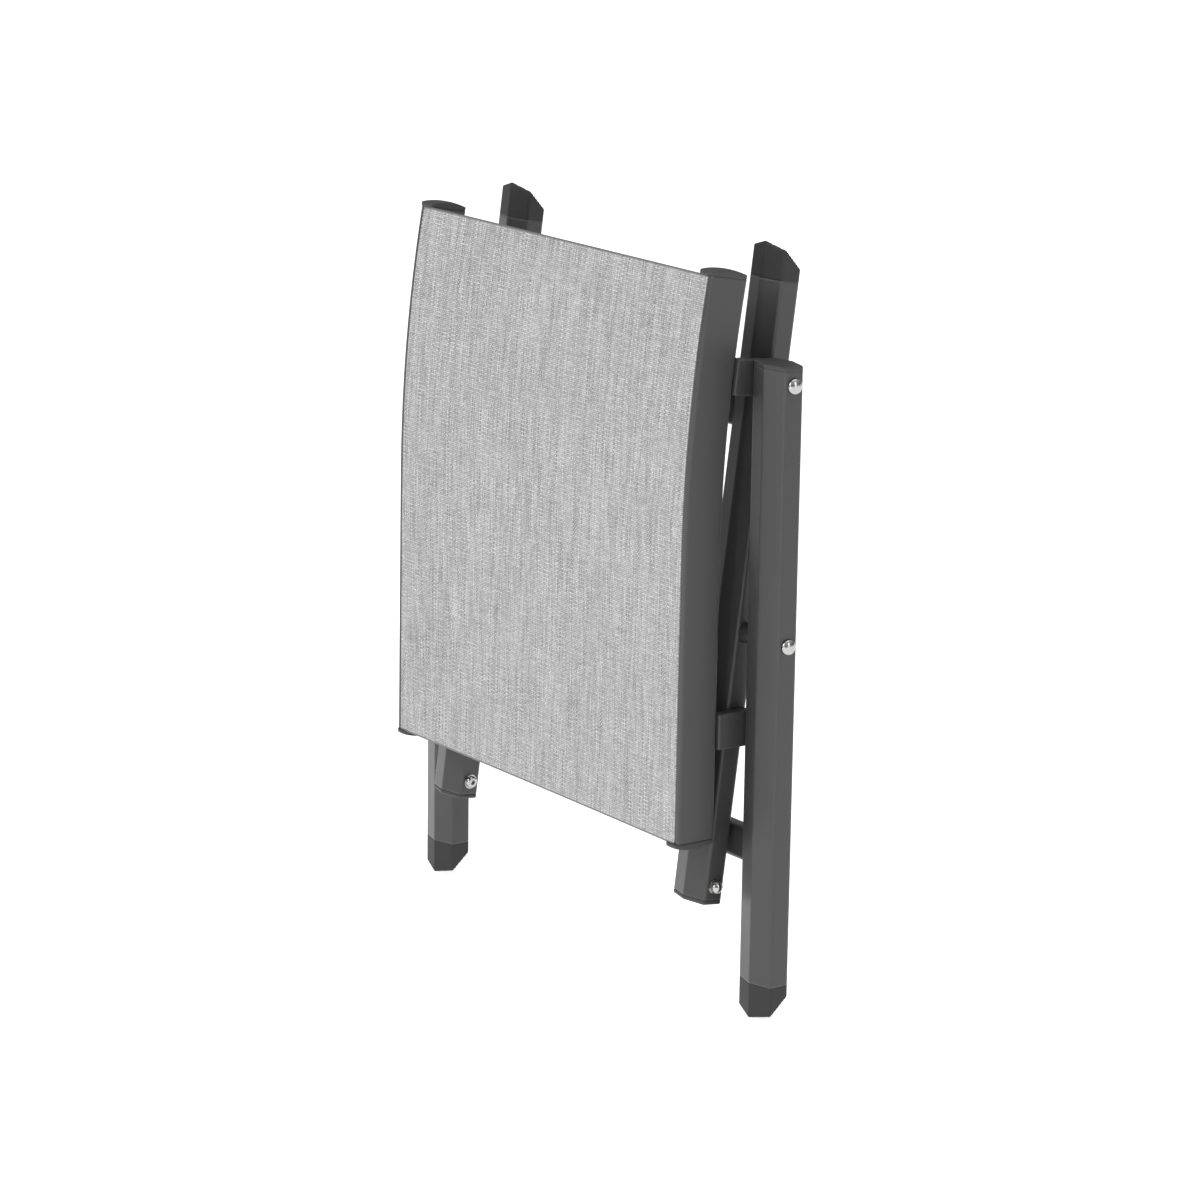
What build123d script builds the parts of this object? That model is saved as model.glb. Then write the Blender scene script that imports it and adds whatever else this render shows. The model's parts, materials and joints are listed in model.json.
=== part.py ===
from build123d import *
from math import cos, radians, sin
import os

# Folding stool with a woven sling seat, modelled folded and upright.
# X is the width, +Y points behind the seat, +Z is up.  Millimetres and degrees.

# ---- driving dimensions ------------------------------------------------------------
# Fold: two leg frames cross at the scissor pivots, the seat hangs from the outer frame.
SCISSOR_Y = 8.78            # scissor axis, from the middle of the folded depth
SCISSOR_Z = 299.82          # scissor axis above the tips of the outer feet
ARM = 201.5                 # scissor axis to the seat pivot, and to the lock pin
OUTER_TILT = 1.0            # folded lean of the outer legs, top towards the back
INNER_TILT = 8.3            # folded lean of the inner legs
STAND_ANGLE = 48.5          # angle between a leg and the floor when the stool stands
SEAT_RATIO = 0.53           # seat turn for each degree of leg turn

# Leg tube: an elongated hexagon with a crease down the middle of its wide faces.
LEG_WIDTH = 40.0
LEG_DEPTH = 28.0
LEG_FLAT = 17.0             # depth of the narrow side faces
LEG_EDGE_RADIUS = 2.5
LEG_WALL = 1.8
OUTER_LEG_X = 222.0         # centre of an outer leg
INNER_LEG_X = 170.4         # centre of an inner leg
LEG_FOOT_END = 272.0        # scissor axis to the tube end at the foot
LEG_PIVOT_END = 212.7       # scissor axis to the tube end past the pivot
SOLE_DISTANCE = 289.0       # scissor axis to the middle of the sole
FOOT_PLUG_DEPTH = 22.0
FOOT_EDGE_RADIUS = 1.0      # round the edge of the sole
GROOVE_PITCH = 3.2          # grip grooves across the sole
GROOVE_COUNT = 10
GROOVE_WIDTH = 1.2
GROOVE_DEPTH = 0.8
PLUG_GAP = 0.15
CAP_THICKNESS = 3.6
CAP_CHAMFER = 0.8
CAP_PLUG_DEPTH = 5.0

STRETCHER_HEIGHT = 28.0
STRETCHER_DEPTH = 14.0
STRETCHER_RADIUS = 5.0
STRETCHER_DISTANCE = 168.0  # scissor axis to a stretcher, along the leg
OUTER_STRETCHER_BACK = 2.6  # set behind the leg axis, clear of the inner legs

# Seat rail: flat oval tube, straight at the rear and curved down at the front edge.
RAIL_X = 190.0
RAIL_WIDTH = 16.0
RAIL_DEPTH = 34.0
RAIL_RADIUS = 2.0
RAIL_WALL = 1.6
RAIL_TILT = 1.285
RAIL_BOTTOM_Y = -43.98      # rail centre line at its lower end
RAIL_BOTTOM_Z = 142.67
RAIL_STRAIGHT = 221.4
RAIL_BEND_RADIUS = 1250.0
RAIL_BEND_ANGLE = 9.97

KEDER_RADIUS = 2.4
KEDER_X = 3.0               # edge cord centre, outwards from the rail centre
KEDER_Y = -11.6
KEDER_CHANNEL_RADIUS = 2.7
KEDER_SLIT = 1.3
FABRIC_THICKNESS = 0.7

RAIL_CAP_LIP = 0.9          # cap in front of the rail, over the end of the cloth
RAIL_CAP_OVERHANG = 0.5     # cap beyond the rail all round
RAIL_CAP_RADIUS = 4.0
RAIL_CAP_HEIGHT = 6.0       # in the middle of its crown
RAIL_CAP_CROWN = 60.0       # radius of the crown
RAIL_CAP_EDGE_RADIUS = 0.6
RAIL_CAP_PLUG = 14.0

SPREADER_RADIUS = 12.0
SPREADER_WALL = 1.5
FRONT_SPREADER_Y = -14.14
FRONT_SPREADER_Z = 476.72
REAR_SPREADER_Y = -39.35
REAR_SPREADER_Z = 196.72

# Brackets in the slot between the inner and the outer legs.
BRACKET_HEIGHT = 28.0
BRACKET_INNER_X = 192.0
BRACKET_OUTER_X = 201.0
BRACKET_CORNER = 7.0
FLANGE_INNER_X = 183.0
FLANGE_THICKNESS = 3.0
PIVOT_BRACKET_ALONG = 364.2  # bracket middle, along the rail from its lower end
PIVOT_BRACKET_REACH = 11.0   # bracket behind the seat pivot
CATCH_BRACKET_ALONG = 85.7
CATCH_BRACKET_REACH = 36.0   # bracket behind the back of the rail
RAIL_PACKING = 0.1           # behind the rail, for the bend of its back face
CATCH_POCKET_HALF = 6.2
CATCH_POCKET_END_X = 198.6
CATCH_POCKET_LEAD = 20.0     # leg angle over which the lock pin runs in the pocket

# Fasteners.
PIVOT_BOLT_RADIUS = 4.0
PIVOT_BORE_RADIUS = 4.05
SLEEVE_RADIUS = 6.0
SPACER_RADIUS = 8.0
PIVOT_NUT_RADIUS = 6.2
PIVOT_NUT_HEIGHT = 4.4
LOCK_BOLT_RADIUS = 3.0
LOCK_NUT_FLAT = 10.0         # across the flats
LOCK_NUT_HEX = 3.0
LOCK_DOME_RADIUS = 4.6
LOCK_NUT_HEIGHT = 6.0
NUT_BORE_DEPTH = 2.4
HEAD_HEIGHT = 3.2
HEAD_CROWN_RADIUS = 1.9
PIVOT_HEAD_RADIUS = 6.5
LOCK_HEAD_RADIUS = 5.0
HEX_KEY = 4.0                # across the flats
HEX_KEY_DEPTH = 2.0
WASHER_THICKNESS = 1.0
PIVOT_WASHER_RADIUS = 7.0
LOCK_WASHER_RADIUS = 6.0
TURNING_GAP = 0.2            # side play beside a turning joint
SCREW_RADIUS = 2.0
SCREW_HEAD_RADIUS = 3.5
SCREW_HEAD_HEIGHT = 1.5
SCREW_LENGTH = 9.0
SCREW_KEY_RADIUS = 1.2
SCREW_KEY_DEPTH = 0.9
SCREW_PITCH = 15.0
SCREW_INSET = 3.0            # inwards from the middle of the rail, beside the web

# ---- values that follow from them --------------------------------------------------
SIDES = (("left", -1), ("right", 1))
OPEN_ANGLE = 2 * STAND_ANGLE - (INNER_TILT - OUTER_TILT)
SOLE_ANGLE = 90 - STAND_ANGLE


def turned(point, centre, angle):
    """Turn a (y, z) point about a centre; a positive angle takes the top to the back."""
    dy = point[0] - centre[0]
    dz = point[1] - centre[1]
    c = cos(radians(angle))
    s = sin(radians(angle))
    return (centre[0] + dy * c + dz * s, centre[1] - dy * s + dz * c)


SCISSOR = (SCISSOR_Y, SCISSOR_Z)
SEAT_PIVOT = turned((SCISSOR_Y, SCISSOR_Z + ARM), SCISSOR, OUTER_TILT)
LOCK_PIN = turned((SCISSOR_Y, SCISSOR_Z - ARM), SCISSOR, INNER_TILT)


def lock_pin_on_seat(leg_angle):
    """Place of the lock pin as the seat sees it, with the legs opened by leg_angle."""
    opened = turned(LOCK_PIN, SCISSOR, leg_angle)
    return turned(opened, SEAT_PIVOT, -SEAT_RATIO * leg_angle)


def leg_plane(x, tilt, distance=0.0):
    """Plane across a leg, square to its axis, at a distance above the scissor axis."""
    axis = (0, sin(radians(tilt)), cos(radians(tilt)))
    plane = Plane(origin=(x, SCISSOR_Y, SCISSOR_Z), x_dir=(1, 0, 0), z_dir=axis)
    return plane.offset(distance)


def side_plane(x):
    """Plane square to the width; its own axes are Y and Z."""
    return Plane.YZ.offset(x)


def span(side, x_near, x_far):
    """Start and length along +X of a stretch from x_near to x_far on one side."""
    start = min(side * x_near, side * x_far)
    return start, abs(x_far - x_near)


def finish(builder, name):
    builder.part.label = name
    export_step(builder.part, f"parts/{name}.step")


os.makedirs("parts", exist_ok=True)

# ---- shared outlines ---------------------------------------------------------------
with BuildSketch() as leg_outline:
    with BuildLine():
        Polyline(
            (-LEG_WIDTH / 2, -LEG_FLAT / 2),
            (0, -LEG_DEPTH / 2),
            (LEG_WIDTH / 2, -LEG_FLAT / 2),
            (LEG_WIDTH / 2, LEG_FLAT / 2),
            (0, LEG_DEPTH / 2),
            (-LEG_WIDTH / 2, LEG_FLAT / 2),
            close=True,
        )
    make_face()
    fillet(leg_outline.vertices(), LEG_EDGE_RADIUS)

with BuildSketch() as leg_hollow:
    add(leg_outline.sketch)
    offset(amount=-LEG_WALL, mode=Mode.REPLACE)

with BuildSketch() as leg_plug:
    add(leg_outline.sketch)
    offset(amount=-LEG_WALL - PLUG_GAP, mode=Mode.REPLACE)

# The rail holds a round channel for the edge cord, open to its front face by a slit.
HOLLOW_WIDTH = RAIL_WIDTH - 2 * RAIL_WALL
HOLLOW_FRONT = KEDER_Y + KEDER_CHANNEL_RADIUS + RAIL_WALL
HOLLOW_BACK = RAIL_DEPTH / 2 - RAIL_WALL
HOLLOW_DEPTH = HOLLOW_BACK - HOLLOW_FRONT
HOLLOW_MIDDLE = (HOLLOW_FRONT + HOLLOW_BACK) / 2
HOLLOW_RADIUS = RAIL_RADIUS - RAIL_WALL
RAIL_CAP_WIDTH = RAIL_WIDTH + 2 * RAIL_CAP_OVERHANG
RAIL_CAP_DEPTH = RAIL_DEPTH + 2 * RAIL_CAP_OVERHANG


def rail_path(x):
    """Centre line of a seat rail: straight, then bent towards the back."""
    start = (x, RAIL_BOTTOM_Y, RAIL_BOTTOM_Z)
    axis = (0, sin(radians(RAIL_TILT)), cos(radians(RAIL_TILT)))
    knee = (x, start[1] + RAIL_STRAIGHT * axis[1], start[2] + RAIL_STRAIGHT * axis[2])
    bend = Plane(origin=knee, x_dir=(0, axis[2], -axis[1]), z_dir=(1, 0, 0))
    reach = RAIL_BEND_RADIUS * (1 - cos(radians(RAIL_BEND_ANGLE)))
    rise = RAIL_BEND_RADIUS * sin(radians(RAIL_BEND_ANGLE))
    top = bend.from_local_coords(Vector(reach, rise, 0))
    with BuildLine() as path:
        Line(start, knee)
        TangentArc(knee, top, tangent=axis)
    return path.wire()


def rail_plane(path, at):
    """Plane across a rail at a fraction of its path."""
    return Plane(origin=path @ at, x_dir=(1, 0, 0), z_dir=path % at)


# ---- leg frames --------------------------------------------------------------------
# foot is -1 for the outer frame, whose feet point down when folded, and +1 for the inner.
FRAMES = (
    ("outer", OUTER_LEG_X, OUTER_TILT, -1, SEAT_PIVOT, PIVOT_BOLT_RADIUS, PIVOT_BOLT_RADIUS),
    ("inner", INNER_LEG_X, INNER_TILT, 1, LOCK_PIN, LOCK_BOLT_RADIUS, SLEEVE_RADIUS),
)

for frame_name, leg_x, tilt, foot, pivot, pivot_hole, scissor_hole in FRAMES:
    for side_name, side in SIDES:
        x = side * leg_x
        foot_end = leg_plane(x, tilt, foot * LEG_FOOT_END)
        pivot_end = leg_plane(x, tilt, -foot * LEG_PIVOT_END)

        with BuildPart() as leg:
            with BuildSketch(foot_end):
                add(leg_outline.sketch)
                add(leg_hollow.sketch, mode=Mode.SUBTRACT)
            extrude(amount=-foot * (LEG_FOOT_END + LEG_PIVOT_END))
            with BuildSketch(side_plane(x)):
                with Locations(SCISSOR):
                    Circle(scissor_hole)
                with Locations(pivot):
                    Circle(pivot_hole)
            extrude(amount=LEG_WIDTH, both=True, mode=Mode.SUBTRACT)
        finish(leg, f"{frame_name}_leg_{side_name}")

        # The moulded foot plugs into the tube; its sole lies flat when the stool stands.
        sole = leg_plane(x, tilt, foot * SOLE_DISTANCE)
        sole_normal = sole.y_dir * sin(radians(SOLE_ANGLE)) + sole.z_dir * (foot * cos(radians(SOLE_ANGLE)))
        with BuildPart() as shoe:
            with BuildSketch(foot_end):
                add(leg_outline.sketch)
            extrude(amount=foot * 2 * LEG_DEPTH)
            sole_face = Plane(origin=sole.origin, x_dir=(1, 0, 0), z_dir=sole_normal)
            split(bisect_by=sole_face, keep=Keep.BOTTOM)
            fillet(shoe.faces().sort_by(Axis(sole.origin, sole_normal))[-1].edges(), FOOT_EDGE_RADIUS)
            with BuildSketch(sole_face):
                with GridLocations(0, GROOVE_PITCH, 1, GROOVE_COUNT):
                    Rectangle(2 * LEG_WIDTH, GROOVE_WIDTH)
            extrude(amount=-GROOVE_DEPTH, mode=Mode.SUBTRACT)
            with BuildSketch(foot_end):
                add(leg_plug.sketch)
            extrude(amount=-foot * FOOT_PLUG_DEPTH)
        finish(shoe, f"{frame_name}_foot_{side_name}")

        with BuildPart() as end_cap:
            with BuildSketch(pivot_end):
                add(leg_outline.sketch)
            extrude(amount=-foot * CAP_THICKNESS)
            outer_face = end_cap.faces().sort_by(Axis.Z)[-1 if foot < 0 else 0]
            chamfer(outer_face.edges(), CAP_CHAMFER)
            with BuildSketch(pivot_end):
                add(leg_plug.sketch)
            extrude(amount=foot * CAP_PLUG_DEPTH)
        finish(end_cap, f"{frame_name}_leg_cap_{side_name}")

    # Stretcher tube, welded between the two legs of the frame.
    inner_face = leg_x - LEG_WIDTH / 2
    across = leg_plane(0, tilt, foot * STRETCHER_DISTANCE)
    setback = OUTER_STRETCHER_BACK if foot < 0 else 0.0
    middle = across.from_local_coords(Vector(0, setback, 0))
    section = Plane(origin=(-inner_face, middle.Y, middle.Z), x_dir=across.y_dir, z_dir=(1, 0, 0))
    with BuildPart() as stretcher:
        with BuildSketch(section):
            RectangleRounded(STRETCHER_DEPTH, STRETCHER_HEIGHT, STRETCHER_RADIUS)
            offset(amount=-LEG_WALL, mode=Mode.SUBTRACT)
        extrude(amount=2 * inner_face)
    finish(stretcher, f"{frame_name}_stretcher")

# ---- seat frame --------------------------------------------------------------------
RAIL_LENGTH = rail_path(0).length
BRACKET_SEAT = RAIL_DEPTH / 2 + RAIL_PACKING


def bracket_plane(x, along):
    """Plane square to X at x; its own x runs backwards from the rail's centre line."""
    across = rail_plane(rail_path(x), along / RAIL_LENGTH)
    return Plane(origin=across.origin, x_dir=across.y_dir, z_dir=(1, 0, 0))


def screw_places(side, along):
    """Planes on the back face of a bracket's flange, facing backwards, one for each screw."""
    across = rail_plane(rail_path(side * (RAIL_X - SCREW_INSET)), along / RAIL_LENGTH)
    places = []
    for step in (-SCREW_PITCH / 2, SCREW_PITCH / 2):
        point = across.from_local_coords(Vector(0, BRACKET_SEAT + FLANGE_THICKNESS, step))
        places.append(Plane(origin=point, x_dir=(1, 0, 0), z_dir=across.y_dir))
    return places


for side_name, side in SIDES:
    path = rail_path(side * RAIL_X)
    bottom = rail_plane(path, 0)
    top = rail_plane(path, 1)
    screws = screw_places(side, PIVOT_BRACKET_ALONG) + screw_places(side, CATCH_BRACKET_ALONG)

    with BuildPart() as rail:
        with BuildSketch(bottom):
            RectangleRounded(RAIL_WIDTH, RAIL_DEPTH, RAIL_RADIUS)
            with Locations((0, HOLLOW_MIDDLE)):
                RectangleRounded(HOLLOW_WIDTH, HOLLOW_DEPTH, HOLLOW_RADIUS, mode=Mode.SUBTRACT)
            with Locations((side * KEDER_X, KEDER_Y)):
                Circle(KEDER_CHANNEL_RADIUS, mode=Mode.SUBTRACT)
            with Locations((side * KEDER_X, KEDER_Y - RAIL_DEPTH / 2)):
                Rectangle(KEDER_SLIT, RAIL_DEPTH, mode=Mode.SUBTRACT)
        sweep(path=path)
        with Locations(*screws):
            Hole(SCREW_RADIUS, depth=SCREW_LENGTH)
    finish(rail, f"seat_rail_{side_name}")

    with BuildPart() as edge_cord:
        with BuildSketch(bottom):
            with Locations((side * KEDER_X, KEDER_Y)):
                Circle(KEDER_RADIUS)
        sweep(path=path)
    finish(edge_cord, f"edge_cord_{side_name}")

    # The same moulded cap closes both ends of a rail: a crowned head and a plug.
    for end_name, end_plane, outwards in (("rear", bottom, -1), ("front", top, 1)):
        with BuildPart() as rail_cap:
            with BuildSketch(end_plane):
                with Locations((0, -RAIL_CAP_LIP / 2)):
                    RectangleRounded(RAIL_CAP_WIDTH, RAIL_CAP_DEPTH + RAIL_CAP_LIP, RAIL_CAP_RADIUS)
            extrude(amount=outwards * RAIL_CAP_HEIGHT)
            with Locations(end_plane.offset(outwards * (RAIL_CAP_HEIGHT - RAIL_CAP_CROWN))):
                Sphere(RAIL_CAP_CROWN, mode=Mode.INTERSECT)
            fillet(rail_cap.faces().sort_by(Axis.Z)[-1 if outwards > 0 else 0].edges(), RAIL_CAP_EDGE_RADIUS)
            with BuildSketch(end_plane):
                with Locations((0, HOLLOW_MIDDLE)):
                    RectangleRounded(
                        HOLLOW_WIDTH - 2 * PLUG_GAP,
                        HOLLOW_DEPTH - 2 * PLUG_GAP,
                        HOLLOW_RADIUS - PLUG_GAP,
                    )
            extrude(amount=-outwards * RAIL_CAP_PLUG)
        finish(rail_cap, f"rail_cap_{end_name}_{side_name}")

    # Both brackets are an angle: a flange screwed to the rail and a web in the slot.
    web_start, web_length = span(side, BRACKET_INNER_X, BRACKET_OUTER_X)
    flange_start, flange_length = span(side, FLANGE_INNER_X, BRACKET_OUTER_X)
    pivot_frame = bracket_plane(web_start, PIVOT_BRACKET_ALONG)
    pivot_back = pivot_frame.to_local_coords(Vector(web_start, *SEAT_PIVOT)).X + PIVOT_BRACKET_REACH
    for bracket_name, along, back in (
        ("pivot_bracket", PIVOT_BRACKET_ALONG, pivot_back),
        ("catch_bracket", CATCH_BRACKET_ALONG, BRACKET_SEAT + CATCH_BRACKET_REACH),
    ):
        with BuildPart() as bracket:
            with BuildSketch(bracket_plane(web_start, along)) as web:
                with Locations(((BRACKET_SEAT + back) / 2, 0)):
                    Rectangle(back - BRACKET_SEAT, BRACKET_HEIGHT)
                fillet(web.vertices().group_by(Axis.Y)[-1], BRACKET_CORNER)
            extrude(amount=web_length)
            with BuildSketch(bracket_plane(flange_start, along)):
                with Locations((BRACKET_SEAT + FLANGE_THICKNESS / 2, 0)):
                    Rectangle(FLANGE_THICKNESS, BRACKET_HEIGHT)
            extrude(amount=flange_length)
            with Locations(*screw_places(side, along)):
                CounterSinkHole(SCREW_RADIUS, SCREW_HEAD_RADIUS, FLANGE_THICKNESS, counter_sink_angle=90)
            if bracket_name == "pivot_bracket":
                with BuildSketch(side_plane(web_start)):
                    with Locations(SEAT_PIVOT):
                        Circle(SLEEVE_RADIUS)
                extrude(amount=web_length, mode=Mode.SUBTRACT)
            else:
                # The lock pin runs up this pocket as the stool opens; it is open below.
                seated = Vector(*lock_pin_on_seat(OPEN_ANGLE))
                entering = Vector(*lock_pin_on_seat(OPEN_ANGLE - CATCH_POCKET_LEAD))
                run = (entering - seated).normalized()
                half = Vector(-run.Y, run.X) * CATCH_POCKET_HALF
                pocket_start, pocket_length = span(side, BRACKET_INNER_X, CATCH_POCKET_END_X)
                with BuildSketch(side_plane(pocket_start)):
                    with BuildLine():
                        Polyline(seated + half, entering + half, entering - half, seated - half, close=True)
                    make_face()
                    with Locations(seated):
                        Circle(CATCH_POCKET_HALF)
                extrude(amount=pocket_length, mode=Mode.SUBTRACT)
        finish(bracket, f"{bracket_name}_{side_name}")

for spreader_name, y, z in (
    ("front", FRONT_SPREADER_Y, FRONT_SPREADER_Z),
    ("rear", REAR_SPREADER_Y, REAR_SPREADER_Z),
):
    half_length = RAIL_X - RAIL_WIDTH / 2
    with BuildPart() as spreader:
        with BuildSketch(side_plane(-half_length)):
            with Locations((y, z)):
                Circle(SPREADER_RADIUS)
                Circle(SPREADER_RADIUS - SPREADER_WALL, mode=Mode.SUBTRACT)
        extrude(amount=2 * half_length)
    finish(spreader, f"seat_spreader_{spreader_name}")

# The sling lies on the front of the rails and runs through each slit to its edge cord.
seat_path = rail_path(0)
rail_front = -RAIL_DEPTH / 2
tongue_x = RAIL_X + KEDER_X
tongue_end = KEDER_Y - KEDER_RADIUS
with BuildPart() as fabric:
    with BuildSketch(rail_plane(seat_path, 0)):
        with Locations((0, rail_front - FABRIC_THICKNESS / 2)):
            Rectangle(2 * tongue_x + FABRIC_THICKNESS, FABRIC_THICKNESS)
        for side_name, side in SIDES:
            with Locations((side * tongue_x, (rail_front + tongue_end) / 2)):
                Rectangle(FABRIC_THICKNESS, tongue_end - rail_front)
    sweep(path=seat_path)
finish(fabric, "seat_fabric")

with BuildPart() as bracket_screws:
    for side_name, side in SIDES:
        for along in (PIVOT_BRACKET_ALONG, CATCH_BRACKET_ALONG):
            with Locations(*screw_places(side, along)):
                Cylinder(SCREW_RADIUS, SCREW_LENGTH, align=(Align.CENTER, Align.CENTER, Align.MAX))
                Cone(
                    SCREW_RADIUS,
                    SCREW_HEAD_RADIUS,
                    SCREW_HEAD_HEIGHT,
                    align=(Align.CENTER, Align.CENTER, Align.MAX),
                )
                Cylinder(
                    SCREW_KEY_RADIUS,
                    SCREW_KEY_DEPTH,
                    align=(Align.CENTER, Align.CENTER, Align.MAX),
                    mode=Mode.SUBTRACT,
                )
finish(bracket_screws, "bracket_screws")

# ---- pivots and lock pins ----------------------------------------------------------
OUTER_FACE = OUTER_LEG_X + LEG_WIDTH / 2
SLOT_OUTER = OUTER_LEG_X - LEG_WIDTH / 2
SLOT_INNER = INNER_LEG_X + LEG_WIDTH / 2
INSIDE_FACE = INNER_LEG_X - LEG_WIDTH / 2


def fastener_plane(side, x, point):
    """Plane on a fastener's axis at x, facing away from the middle of the stool."""
    return Plane(origin=(side * x, *point), x_dir=(0, 1, 0), z_dir=(side, 0, 0))


def make_ring(name, side, point, x_near, x_far, radius, bore):
    """A washer, spacer or sleeve between two places along its axis."""
    with BuildPart() as ring:
        with BuildSketch(fastener_plane(side, x_near, point)):
            Circle(radius)
            Circle(bore, mode=Mode.SUBTRACT)
        extrude(amount=x_far - x_near)
    finish(ring, name)


def make_bolt(name, side, point, head_x, end_x, radius, head_radius):
    """A button head bolt: the head is on the inside, the shank runs outwards."""
    with BuildPart() as bolt:
        with BuildSketch(fastener_plane(side, head_x, point)):
            Circle(radius)
        extrude(amount=end_x - head_x)
        with BuildSketch(fastener_plane(side, head_x, point)):
            Circle(head_radius)
        extrude(amount=-HEAD_HEIGHT)
        crown = bolt.faces().sort_by(Axis.X)[0 if side > 0 else -1]
        fillet(crown.edges(), HEAD_CROWN_RADIUS)
        with BuildSketch(fastener_plane(side, head_x - HEAD_HEIGHT, point)):
            RegularPolygon(HEX_KEY / 2, 6, major_radius=False)
        extrude(amount=HEX_KEY_DEPTH, mode=Mode.SUBTRACT)
    finish(bolt, name)


def make_dome_nut(name, side, point, seat_x, bore, radius, height, hex_height=0.0):
    """A domed nut with a blind bore, on a round or a hexagonal base."""
    seat = fastener_plane(side, seat_x, point)
    base = hex_height if hex_height else WASHER_THICKNESS
    dome = Plane(origin=seat.origin, x_dir=(side, 0, 0), z_dir=(0, 1, 0))
    with BuildPart() as nut:
        with BuildSketch(dome):
            with BuildLine():
                Polyline((base, 0), (0, 0), (0, radius), (base, radius))
                EllipticalCenterArc((base, 0), height - base, radius, start_angle=0, arc_size=90)
                Line((height, 0), (base, 0))
            make_face()
        revolve(axis=Axis(seat.origin, (1, 0, 0)))
        if hex_height:
            with BuildSketch(seat):
                RegularPolygon(LOCK_NUT_FLAT / 2, 6, major_radius=False)
            extrude(amount=hex_height)
        with BuildSketch(seat):
            Circle(bore)
        extrude(amount=NUT_BORE_DEPTH, mode=Mode.SUBTRACT)
    finish(nut, name)


for side_name, side in SIDES:
    # Scissor pivot: bolt through both legs, turning in a sleeve in the inner leg.
    washer_x = INSIDE_FACE - TURNING_GAP
    head_x = washer_x - WASHER_THICKNESS
    bolt_end = OUTER_FACE + NUT_BORE_DEPTH
    make_bolt(
        f"scissor_bolt_{side_name}", side, SCISSOR, head_x, bolt_end, PIVOT_BOLT_RADIUS, PIVOT_HEAD_RADIUS
    )
    make_ring(
        f"scissor_washer_{side_name}", side, SCISSOR, head_x, washer_x, PIVOT_WASHER_RADIUS, PIVOT_BOLT_RADIUS
    )
    make_ring(
        f"scissor_sleeve_{side_name}", side, SCISSOR, INSIDE_FACE, SLOT_INNER, SLEEVE_RADIUS, PIVOT_BORE_RADIUS
    )
    make_ring(
        f"scissor_spacer_{side_name}",
        side,
        SCISSOR,
        SLOT_INNER + TURNING_GAP,
        SLOT_OUTER,
        SPACER_RADIUS,
        PIVOT_BOLT_RADIUS,
    )
    make_dome_nut(
        f"scissor_nut_{side_name}",
        side,
        SCISSOR,
        OUTER_FACE,
        PIVOT_BOLT_RADIUS,
        PIVOT_NUT_RADIUS,
        PIVOT_NUT_HEIGHT,
    )

    # Seat pivot: bolt through the bracket's bush and the top of the outer leg.
    washer_x = BRACKET_INNER_X - TURNING_GAP
    head_x = washer_x - WASHER_THICKNESS
    make_bolt(
        f"seat_pivot_bolt_{side_name}",
        side,
        SEAT_PIVOT,
        head_x,
        bolt_end,
        PIVOT_BOLT_RADIUS,
        PIVOT_HEAD_RADIUS,
    )
    make_ring(
        f"seat_pivot_washer_{side_name}",
        side,
        SEAT_PIVOT,
        head_x,
        washer_x,
        PIVOT_WASHER_RADIUS,
        PIVOT_BOLT_RADIUS,
    )
    make_ring(
        f"seat_pivot_shim_{side_name}",
        side,
        SEAT_PIVOT,
        BRACKET_OUTER_X + TURNING_GAP,
        SLOT_OUTER,
        PIVOT_WASHER_RADIUS,
        PIVOT_BOLT_RADIUS,
    )
    make_ring(
        f"seat_pivot_bush_{side_name}",
        side,
        SEAT_PIVOT,
        BRACKET_INNER_X,
        BRACKET_OUTER_X,
        SLEEVE_RADIUS,
        PIVOT_BORE_RADIUS,
    )
    make_dome_nut(
        f"seat_pivot_nut_{side_name}",
        side,
        SEAT_PIVOT,
        OUTER_FACE,
        PIVOT_BOLT_RADIUS,
        PIVOT_NUT_RADIUS,
        PIVOT_NUT_HEIGHT,
    )

    # Lock pin: bolt through the inner leg; its nut stands into the slot and is caught.
    inner_washer_x = INSIDE_FACE - WASHER_THICKNESS
    outer_washer_x = SLOT_INNER + WASHER_THICKNESS
    make_bolt(
        f"lock_pin_{side_name}",
        side,
        LOCK_PIN,
        inner_washer_x,
        outer_washer_x + NUT_BORE_DEPTH,
        LOCK_BOLT_RADIUS,
        LOCK_HEAD_RADIUS,
    )
    make_ring(
        f"lock_washer_inner_{side_name}",
        side,
        LOCK_PIN,
        inner_washer_x,
        INSIDE_FACE,
        LOCK_WASHER_RADIUS,
        LOCK_BOLT_RADIUS,
    )
    make_ring(
        f"lock_washer_outer_{side_name}",
        side,
        LOCK_PIN,
        SLOT_INNER,
        outer_washer_x,
        LOCK_WASHER_RADIUS,
        LOCK_BOLT_RADIUS,
    )
    make_dome_nut(
        f"lock_nut_{side_name}",
        side,
        LOCK_PIN,
        outer_washer_x,
        LOCK_BOLT_RADIUS,
        LOCK_DOME_RADIUS,
        LOCK_NUT_HEIGHT,
        LOCK_NUT_HEX,
    )
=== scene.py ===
import json
import math

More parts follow.
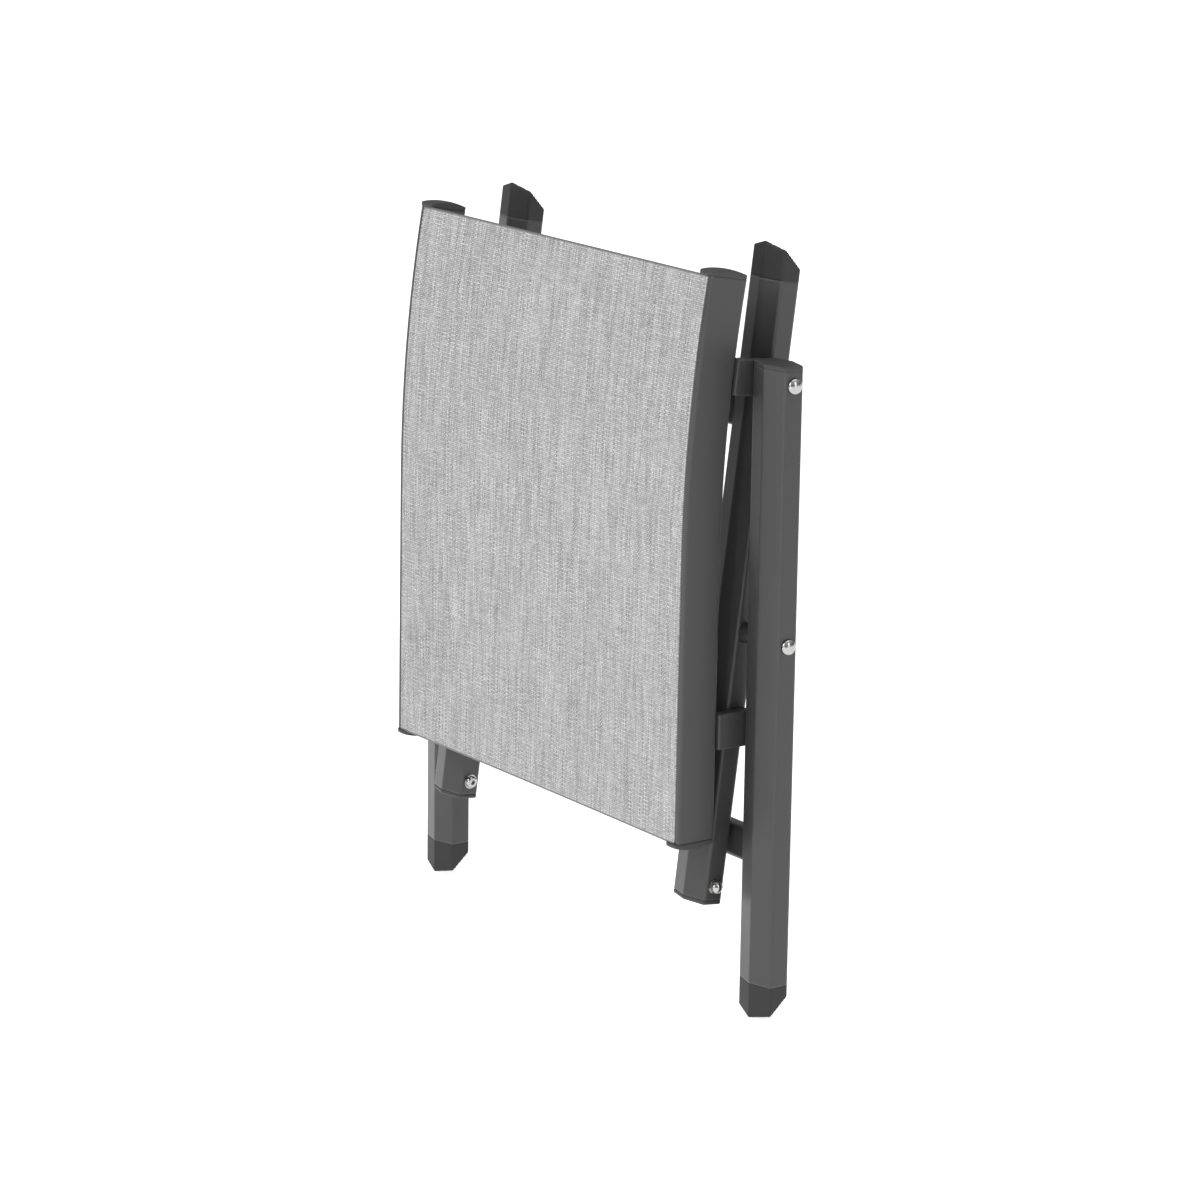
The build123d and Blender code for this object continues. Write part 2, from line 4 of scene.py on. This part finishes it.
import bmesh
import bpy
import numpy as np
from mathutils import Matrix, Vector


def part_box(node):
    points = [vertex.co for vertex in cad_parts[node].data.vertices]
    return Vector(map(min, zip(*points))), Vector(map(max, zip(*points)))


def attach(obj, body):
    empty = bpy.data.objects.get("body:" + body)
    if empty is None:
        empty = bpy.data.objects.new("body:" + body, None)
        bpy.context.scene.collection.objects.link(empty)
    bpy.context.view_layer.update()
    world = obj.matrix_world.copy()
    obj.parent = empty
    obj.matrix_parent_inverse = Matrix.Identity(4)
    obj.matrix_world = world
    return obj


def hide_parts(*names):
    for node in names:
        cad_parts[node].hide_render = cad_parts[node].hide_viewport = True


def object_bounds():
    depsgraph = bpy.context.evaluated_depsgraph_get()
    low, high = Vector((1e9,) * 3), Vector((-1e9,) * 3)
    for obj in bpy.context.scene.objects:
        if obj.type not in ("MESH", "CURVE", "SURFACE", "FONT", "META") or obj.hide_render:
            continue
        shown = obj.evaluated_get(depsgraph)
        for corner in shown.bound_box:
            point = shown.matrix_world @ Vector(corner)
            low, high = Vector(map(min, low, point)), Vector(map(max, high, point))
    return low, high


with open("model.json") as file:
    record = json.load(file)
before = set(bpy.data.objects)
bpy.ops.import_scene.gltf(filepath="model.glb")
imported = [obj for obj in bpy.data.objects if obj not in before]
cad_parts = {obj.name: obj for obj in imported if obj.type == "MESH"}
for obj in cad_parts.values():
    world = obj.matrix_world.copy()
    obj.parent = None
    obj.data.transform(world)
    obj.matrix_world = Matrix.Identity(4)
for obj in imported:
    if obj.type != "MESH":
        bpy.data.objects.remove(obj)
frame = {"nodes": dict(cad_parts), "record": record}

# Looks of a folding stool: powder coated tubes, moulded feet and caps, a woven sling.
# Metres, degrees and watts, in the frame of the CAD model: +X across, +Y behind the seat, +Z up.

CAD_LOW, CAD_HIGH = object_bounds()
NODES = frame["nodes"]

# ---- view --------------------------------------------------------------------------
CAMERA_PLACE = Vector((2.723, -1.9334, 1.1603))
CAMERA_TURN = 54.536         # heading, from +Y towards -X
CAMERA_DOWN = 14.661         # pitch below the horizon
CAMERA_LENS = 129.0          # focal length and sensor width are in millimetres
SENSOR = 36.0

# ---- stage -------------------------------------------------------------------------
FLOOR_RADIUS = 40.0
FLOOR_SIDES = 96
FLOOR_GLOW = 0.72            # strength of its own light, which keeps the ground white

# Place, then width and height, then power. Each one aims at the middle of the stool.
SOFTBOXES = {
    "softbox_key": ((-0.6, -3.4, 2.6), (1.8, 2.2), 70.0),
    "softbox_right": ((3.2, 0.9, 1.5), (0.7, 2.4), 16.0),
    "softbox_top": ((0.3, 0.6, 3.4), (2.6, 2.6), 26.0),
    "softbox_edge": ((1.7, -2.4, 0.55), (0.16, 1.6), 15.0),
}
# Height and grey. Walls darker than the ceiling, so that bright metal shows a band.
WALL = (0.06, 0.13)
CEILING = (0.55, 0.55)

# ---- sling -------------------------------------------------------------------------
CLOTH_THICKNESS = 0.0007
CLOTH_STEP = 0.003           # length of the mesh's squares, along the sling
CLOTH_SAG = 0.0022           # how far the middle gives towards the back
SAG_AT_ENDS = 0.45           # share of the sag that is left at the cut ends
SAG_RUN_IN = 0.09            # length over which it grows from an end to its full depth
TONGUE = 0.0033              # how deep the cloth goes into the slits, to the edge cords
EDGE_TURN = 0.0009           # radius where the cloth turns into the slit
FLAT_STEPS, TURN_STEPS, TONGUE_STEPS = 60, 6, 3    # mesh steps from the middle to one edge
LINE_SAMPLES = 4000          # samples of the cloth's side view that its length is added up from
FACES_FRONT = -0.9           # a face whose normal's y is under this looks to the front
YARN = 0.00155               # pitch of the weave

# ---- surfaces ----------------------------------------------------------------------
FRAME_GREY = (0.042, 0.042, 0.044)
FOOT_GREY = (0.017, 0.017, 0.018)
CAP_GREY = (0.036, 0.036, 0.038)
BUSH_GREY = (0.030, 0.030, 0.032)
CORD_GREY = (0.35, 0.35, 0.34)
STEEL_GREY = (0.44, 0.44, 0.43)
ZINC_GREY = (0.45, 0.45, 0.45)
SEALED_GREY = (0.16, 0.16, 0.16)

TONE_SCALE = 14.0            # noise scales are per metre
SMUDGE_SCALE = 180.0
YARN_TONE_SCALE = 1.37       # this one is per yarn
GRAIN_DEPTH = 0.0002
TURNING_DEPTH = 0.0001
WEAVE_DEPTH = 0.0005
WORN_AND_HIGHLIT_EDGE_RADIUS = 0.0024       # how far from an edge the colour is lighter, partly rubbed coating and partly painted highlight
SEALED_ROWS = 0.9            # width of the heat sealed line at the cut ends, in yarns

# Stops are (value, tone). Lighter edges, partly rubbed coating and partly painted highlight: how
# well the rounded normal agrees with the flat one.
WORN_AND_HIGHLIT_EDGE_STOPS = [(0.90, 1.0), (0.995, 0.0)]
WARP_STOPS = [(0.30, 0.20), (0.45, 0.34), (0.56, 0.46), (0.72, 0.60)]
WEFT_STOPS = [(0.30, 0.33), (0.46, 0.40), (0.58, 0.45), (0.72, 0.52)]
# Painted shade in the gaps between yarns and painted highlight on their crowns, by how far each
# yarn bulges.
YARN_PAINTED_SHADE_STOPS = [(0.0, 0.42), (0.35, 0.95), (0.8, 1.12)]
CROSSING_STOPS = [(0.0, 0.82), (0.5, 1.0), (1.0, 1.16)]

# Numbers of the sockets for colours on a mix node.
MIX_FACTOR, MIX_A, MIX_B, MIX_RESULT = 0, 6, 7, 2


# ---- node helpers ------------------------------------------------------------------
def set_sockets(node, sockets):
    """Give inputs, by name or number, a fixed value or the output of another node."""
    for key, value in sockets.items():
        if isinstance(value, bpy.types.NodeSocket):
            node.id_data.links.new(value, node.inputs[key])
        else:
            node.inputs[key].default_value = value


def add_node(tree, kind, sockets=None, **settings):
    """A new node, with its settings first, because they decide which sockets it has."""
    node = tree.nodes.new(kind)
    for key, value in settings.items():
        setattr(node, key, value)
    set_sockets(node, sockets or {})
    return node


def new_material(name):
    """A material, its node tree and its main shader."""
    material = bpy.data.materials.new(name)
    material.use_nodes = True
    return material, material.node_tree, material.node_tree.nodes["Principled BSDF"]


def object_place(tree):
    return add_node(tree, "ShaderNodeTexCoord").outputs["Object"]


def noise(tree, place, **sockets):
    return add_node(tree, "ShaderNodeTexNoise", {"Vector": place, **sockets}).outputs["Fac"]


def ramp(tree, source, stops):
    """A tone from a value, by (value, grey or colour) stops."""
    node = add_node(tree, "ShaderNodeValToRGB", {"Fac": source})
    elements = node.color_ramp.elements
    while len(elements) < len(stops):
        elements.new(0.5)
    for element, (place, colour) in zip(elements, stops):
        element.position = place
        if not isinstance(colour, tuple):
            colour = (colour, colour, colour)
        element.color = (*colour, 1.0)
    return node.outputs["Color"]


def product(tree, first, second):
    """Two colours multiplied."""
    sockets = {MIX_FACTOR: 1.0, MIX_A: first, MIX_B: second}
    node = add_node(tree, "ShaderNodeMix", sockets, data_type="RGBA", blend_type="MULTIPLY")
    return node.outputs[MIX_RESULT]


def blended(tree, factor, first, second):
    """The first colour where the factor is 0, and the second where it is 1."""
    sockets = {MIX_FACTOR: factor, MIX_A: first, MIX_B: second}
    return add_node(tree, "ShaderNodeMix", sockets, data_type="RGBA").outputs[MIX_RESULT]


def maths(tree, operation, *values):
    sockets = dict(enumerate(values))
    return add_node(tree, "ShaderNodeMath", sockets, operation=operation).outputs["Value"]


def relief(tree, height, strength, depth, **sockets):
    """A normal tilted by a height that is at most that deep."""
    sockets = {"Height": height, "Strength": strength, "Distance": depth, **sockets}
    return add_node(tree, "ShaderNodeBump", sockets).outputs["Normal"]


# ---- materials ---------------------------------------------------------------------
def coated(name, colour, roughness, grain, bump, edge_wear_and_highlight_gain, fleck):
    """Matt surface with a fine grain, slow tone changes and lighter edges, partly rubbed coating
    and partly a painted highlight.
    """
    material, tree, shader = new_material(name)
    place = object_place(tree)
    fine = noise(tree, place, Scale=grain, Detail=3.0, Roughness=0.6)
    slow = noise(tree, place, Scale=TONE_SCALE, Detail=4.0)
    dark = tuple(c * (1 - fleck) for c in colour)
    light = tuple(c * (1 + fleck) for c in colour)
    tone = ramp(tree, slow, [(0.3, dark), (0.7, light)])
    speck = ramp(tree, fine, [(0.35, 1.0 - fleck), (0.65, 1.0 + fleck)])

    rounded = add_node(tree, "ShaderNodeBevel", {"Radius": WORN_AND_HIGHLIT_EDGE_RADIUS}, samples=4)
    rounded = rounded.outputs["Normal"]
    flat = add_node(tree, "ShaderNodeNewGeometry").outputs["Normal"]
    turn = add_node(tree, "ShaderNodeVectorMath", {0: rounded, 1: flat}, operation="DOT_PRODUCT")
    edge_wear_and_highlight = ramp(tree, turn.outputs["Value"], WORN_AND_HIGHLIT_EDGE_STOPS)
    # The edges get a lighter colour: partly rubbed coating, partly a painted highlight along the
    # corners.
    edge_wear_and_highlight_colour = (*(min(1.0, c * edge_wear_and_highlight_gain) for c in colour), 1.0)
    tone_with_worn_and_highlit_edges = blended(tree, maths(tree, "MULTIPLY", edge_wear_and_highlight, slow), product(tree, tone, speck), edge_wear_and_highlight_colour)

    gloss = ramp(tree, slow, [(0.25, roughness - 0.05), (0.75, roughness + 0.05)])
    set_sockets(shader, {
        "Base Color": tone_with_worn_and_highlit_edges,
        "Roughness": gloss,
        "Normal": relief(tree, fine, bump, GRAIN_DEPTH, Normal=rounded),
        "Specular IOR Level": 0.42,
    })
    return material


def bright_metal(name, colour, roughness, lines):
    """Polished metal with fine turning marks and light smudges."""
    material, tree, shader = new_material(name)
    place = object_place(tree)
    marks = noise(tree, place, Scale=lines, Detail=2.0)
    smudge = noise(tree, place, Scale=SMUDGE_SCALE, Detail=4.0)
    dull = tuple(c * 0.9 for c in colour)
    set_sockets(shader, {
        "Base Color": ramp(tree, smudge, [(0.3, dull), (0.7, colour)]),
        "Roughness": ramp(tree, smudge, [(0.3, roughness * 0.8), (0.75, roughness * 1.5)]),
        "Normal": relief(tree, marks, 0.12, TURNING_DEPTH),
        "Metallic": 1.0,
    })
    return material


def woven_cloth(name, rows):
    """Coated yarn in a plain weave of that many rows, light and mid grey yarns mixed at random."""
    material, tree, shader = new_material(name)
    place = add_node(tree, "ShaderNodeUVMap", uv_map="weave").outputs["UV"]
    parts = add_node(tree, "ShaderNodeSeparateXYZ", {"Vector": place})
    across, along = parts.outputs["X"], parts.outputs["Y"]

    # Yarn numbers, and how far each yarn bulges over one crossing.
    column = maths(tree, "FLOOR", across)
    row = maths(tree, "FLOOR", along)
    warp_wave = maths(tree, "SINE", maths(tree, "MULTIPLY", across, math.pi))
    weft_wave = maths(tree, "SINE", maths(tree, "MULTIPLY", along, math.pi))
    warp_round = maths(tree, "ABSOLUTE", warp_wave)
    weft_round = maths(tree, "ABSOLUTE", weft_wave)
    bulge = maths(tree, "MULTIPLY", warp_round, weft_round)

    # Warp and weft lie on top in turn. The even number added keeps the sum above zero.
    crossing_number = maths(tree, "ADD", maths(tree, "ADD", column, row), 4096.0)
    parity = maths(tree, "MODULO", crossing_number, 2.0)
    warp_on_top = maths(tree, "GREATER_THAN", parity, 0.5)

    def yarn_tone(number, run, seed, slowness, stops):
        """A tone for each yarn that also changes slowly along its length."""
        drift = maths(tree, "MULTIPLY", run, slowness)
        spot = add_node(tree, "ShaderNodeCombineXYZ", {"X": number, "Y": drift, "Z": seed})
        place = spot.outputs["Vector"]
        return ramp(tree, noise(tree, place, Scale=YARN_TONE_SCALE, Detail=2.0), stops)

    warp = yarn_tone(column, along, 3.0, 0.022, WARP_STOPS)
    weft = yarn_tone(row, across, 17.0, 0.06, WEFT_STOPS)
    yarns = blended(tree, warp_on_top, weft, warp)
    # Painted shade in the gaps between yarns, painted highlight on their crowns.
    shaded = product(tree, yarns, ramp(tree, bulge, YARN_PAINTED_SHADE_STOPS))

    # Every crossing is a little lighter or darker than its neighbours.
    spot = add_node(tree, "ShaderNodeCombineXYZ", {"X": column, "Y": row}).outputs["Vector"]
    chance = add_node(tree, "ShaderNodeTexWhiteNoise", {"Vector": spot}, noise_dimensions="2D")
    speckled = product(tree, shaded, ramp(tree, chance.outputs["Value"], CROSSING_STOPS))

    # The cut ends are heat sealed, a thin darker line.
    from_end = maths(tree, "MINIMUM", along, maths(tree, "SUBTRACT", rows, along))
    sealed = maths(tree, "LESS_THAN", from_end, SEALED_ROWS)
    set_sockets(shader, {
        "Base Color": blended(tree, sealed, speckled, (*SEALED_GREY, 1.0)),
        "Roughness": 0.62,
        "Normal": relief(tree, bulge, 0.65, WEAVE_DEPTH),
        "Specular IOR Level": 0.35,
        "Sheen Weight": 0.12,
        "Sheen Roughness": 0.5,
    })
    return material


# ---- line of the sling -------------------------------------------------------------
def cloth_curve():
    """Front line of the cloth seen from the side, as (z, y) rows, read from its CAD node."""
    mesh = NODES["seat_fabric"].data
    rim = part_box("seat_fabric")[1].x - CLOTH_THICKNESS / 4
    front = {}
    for face in mesh.polygons:
        if face.normal.y > FACES_FRONT:
            continue
        for index in face.vertices:
            point = mesh.vertices[index].co
            if point.x > rim:
                front[round(point.z, 5)] = point.y
    line = np.array(sorted(front.items()))
    keep = np.concatenate([[True], np.diff(line[:, 0]) > CLOTH_THICKNESS])
    return line[keep]


def smooth_line(line, step):
    """Places (y, z) one step apart and unit tangents on a smooth curve, and its length."""
    z, y = line[:, 0], line[:, 1]
    slope = np.gradient(y, z)
    fine = np.linspace(z[0], z[-1], LINE_SAMPLES)
    index = np.clip(np.searchsorted(z, fine, side="right") - 1, 0, len(z) - 2)
    gap = z[index + 1] - z[index]
    t = (fine - z[index]) / gap
    # A cubic between each two points, with the slopes that they have.
    depth = (
        (2 * t**3 - 3 * t**2 + 1) * y[index]
        + (t**3 - 2 * t**2 + t) * gap * slope[index]
        + (3 * t**2 - 2 * t**3) * y[index + 1]
        + (t**3 - t**2) * gap * slope[index + 1]
    )
    run = np.concatenate([[0.0], np.cumsum(np.hypot(np.diff(fine), np.diff(depth)))])
    at = np.linspace(0, run[-1], int(round(run[-1] / step)) + 1)
    places = np.stack([np.interp(at, run, depth), np.interp(at, run, fine)], axis=1)
    tangents = np.gradient(places, axis=0)
    tangents /= np.linalg.norm(tangents, axis=1)[:, None]
    return places, tangents, run[-1]


def cloth_section(half_width):
    """The cloth across its width: (x, how far behind its front face) from left to right."""
    flat_end = half_width - EDGE_TURN
    right = [(flat_end * i / FLAT_STEPS, 0.0) for i in range(FLAT_STEPS + 1)]
    for i in range(1, TURN_STEPS + 1):
        angle = math.radians(90 * i / TURN_STEPS)
        right.append(
            (flat_end + EDGE_TURN * math.sin(angle), EDGE_TURN * (1 - math.cos(angle)))
        )
    for i in range(1, TONGUE_STEPS + 1):
        right.append((half_width, EDGE_TURN + (TONGUE - EDGE_TURN) * i / TONGUE_STEPS))
    left = [(-x, back) for x, back in reversed(right[1:])]
    return np.array(left + right)


SLING_PLACES, SLING_TANGENTS, SLING_LENGTH = smooth_line(cloth_curve(), CLOTH_STEP)

# ---- materials of the slots --------------------------------------------------------
MATERIALS = {
    "frame_powder": coated(
        "frame_powder_coat", FRAME_GREY,
        roughness=0.36, grain=1900.0, bump=0.14, edge_wear_and_highlight_gain=2.6, fleck=0.05,
    ),
    "bracket_powder": coated(
        "bracket_powder_coat", FRAME_GREY,
        roughness=0.36, grain=1700.0, bump=0.14, edge_wear_and_highlight_gain=2.6, fleck=0.05,
    ),
    "foot_plastic": coated(
        "moulded_foot", FOOT_GREY,
        roughness=0.58, grain=1300.0, bump=0.28, edge_wear_and_highlight_gain=1.7, fleck=0.07,
    ),
    "cap_plastic": coated(
        "moulded_cap", CAP_GREY,
        roughness=0.50, grain=1500.0, bump=0.22, edge_wear_and_highlight_gain=1.9, fleck=0.06,
    ),
    "bush_plastic": coated(
        "nylon_bush", BUSH_GREY,
        roughness=0.45, grain=1500.0, bump=0.15, edge_wear_and_highlight_gain=1.5, fleck=0.06,
    ),
    "edge_cord_plastic": coated(
        "edge_cord", CORD_GREY,
        roughness=0.40, grain=900.0, bump=0.12, edge_wear_and_highlight_gain=1.1, fleck=0.05,
    ),
    "bright_steel": bright_metal("bright_steel", STEEL_GREY, roughness=0.17, lines=3000.0),
    "screw_steel": bright_metal("zinc_screw", ZINC_GREY, roughness=0.32, lines=2400.0),
    "sling_fabric": woven_cloth("woven_sling", SLING_LENGTH / YARN),
}


def dress_cad_nodes():
    """Give each CAD node the material of its slot in the record."""
    for row in frame["record"]["subparts"]:
        node = NODES[row["node"]]
        node.data.materials.clear()
        node.data.materials.append(MATERIALS[row["material_slot"]])


# ---- pieces ------------------------------------------------------------------------
def make_sling():
    """The sling: one sheet over both rails, turned into both slits along its edges."""
    half_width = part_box("seat_fabric")[1].x - CLOTH_THICKNESS / 2
    free_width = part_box("seat_rail_right")[0].x
    length = SLING_LENGTH
    rows = len(SLING_PLACES)
    section = cloth_section(half_width)
    travel = np.concatenate([[0.0], np.cumsum(np.hypot(*np.diff(section, axis=0).T))])

    mesh = bpy.data.meshes.new("sling")
    work = bmesh.new()
    weave = work.loops.layers.uv.new("weave")
    grid = []
    for i in range(rows):
        run = length * i / (rows - 1)
        y, z = SLING_PLACES[i]
        ty, tz = SLING_TANGENTS[i]
        end = min(run, length - run)
        ease = 0.5 - 0.5 * math.cos(math.pi * min(1.0, end / SAG_RUN_IN))
        sag = CLOTH_SAG * (SAG_AT_ENDS + (1 - SAG_AT_ENDS) * ease)
        row = []
        for x, back in section:
            share = max(0.0, 1 - (x / free_width) ** 2)
            depth = back + sag * share + CLOTH_THICKNESS / 2
            row.append(work.verts.new((x, y + depth * tz, z - depth * ty)))
        grid.append(row)
    for i in range(rows - 1):
        for j in range(len(section) - 1):
            corners = ((i, j), (i, j + 1), (i + 1, j + 1), (i + 1, j))
            face = work.faces.new([grid[r][c] for r, c in corners])
            for loop, (r, c) in zip(face.loops, corners):
                loop[weave].uv = (travel[c] / YARN, length * r / (rows - 1) / YARN)
            face.smooth = True
    work.to_mesh(mesh)
    work.free()
    sling = bpy.data.objects.new("sling", mesh)
    bpy.context.scene.collection.objects.link(sling)
    mesh.materials.append(MATERIALS["sling_fabric"])
    shell = sling.modifiers.new("thickness", "SOLIDIFY")
    shell.thickness = CLOTH_THICKNESS
    shell.offset = 0.0
    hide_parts("seat_fabric")
    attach(sling, "seat")


def make_floor():
    """A wide pale floor at the level of the feet."""
    mesh = bpy.data.meshes.new("floor")
    work = bmesh.new()
    bmesh.ops.create_circle(work, cap_ends=True, radius=FLOOR_RADIUS, segments=FLOOR_SIDES)
    work.to_mesh(mesh)
    work.free()
    floor = bpy.data.objects.new("floor", mesh)
    floor.location.z = CAD_LOW.z
    bpy.context.scene.collection.objects.link(floor)
    material, tree, shader = new_material("floor_paint")
    mottle = noise(tree, object_place(tree), Scale=3.0, Detail=4.0)
    set_sockets(shader, {
        "Base Color": ramp(tree, mottle, [(0.3, 0.90), (0.7, 0.93)]),
        "Roughness": 0.85,
        "Emission Color": (1.0, 1.0, 1.0, 1.0),
        "Emission Strength": FLOOR_GLOW,
    })
    mesh.materials.append(material)


# ---- light and camera --------------------------------------------------------------
def facing(object_, direction):
    """Turn a light or a camera so that it looks in a direction, with its top up."""
    object_.rotation_mode = "QUATERNION"
    object_.rotation_quaternion = direction.to_track_quat("-Z", "Y")


def area_light(name, place, aim, size, power):
    data = bpy.data.lights.new(name, "AREA")
    data.shape = "RECTANGLE"
    data.size, data.size_y = size
    data.energy = power
    light = bpy.data.objects.new(name, data)
    light.location = place
    facing(light, aim - Vector(place))
    light.visible_camera = False
    bpy.context.scene.collection.objects.link(light)


def light_studio():
    """Four softboxes in a room whose walls grow lighter towards the ceiling."""
    middle = (CAD_LOW + CAD_HIGH) / 2
    for name, (place, size, power) in SOFTBOXES.items():
        area_light(name, place, middle, size, power)
    world = bpy.data.worlds.new("studio")
    world.use_nodes = True
    tree = world.node_tree
    place = add_node(tree, "ShaderNodeTexCoord").outputs["Generated"]
    height = add_node(tree, "ShaderNodeSeparateXYZ", {"Vector": place}).outputs["Z"]
    set_sockets(tree.nodes["Background"], {
        "Color": ramp(tree, height, [WALL, CEILING]),
        "Strength": 1.0,
    })
    bpy.context.scene.world = world
    bpy.context.scene.view_settings.view_transform = "Standard"


def place_camera():
    turn = math.radians(CAMERA_TURN)
    down = math.radians(CAMERA_DOWN)
    level = math.cos(down)
    data = bpy.data.cameras.new("camera")
    data.lens = CAMERA_LENS
    data.sensor_width = SENSOR
    camera = bpy.data.objects.new("camera", data)
    camera.location = CAMERA_PLACE
    facing(camera, Vector((-math.sin(turn) * level, math.cos(turn) * level, -math.sin(down))))
    bpy.context.scene.collection.objects.link(camera)
    bpy.context.scene.camera = camera


place_camera()
make_floor()
light_studio()
dress_cad_nodes()
make_sling()
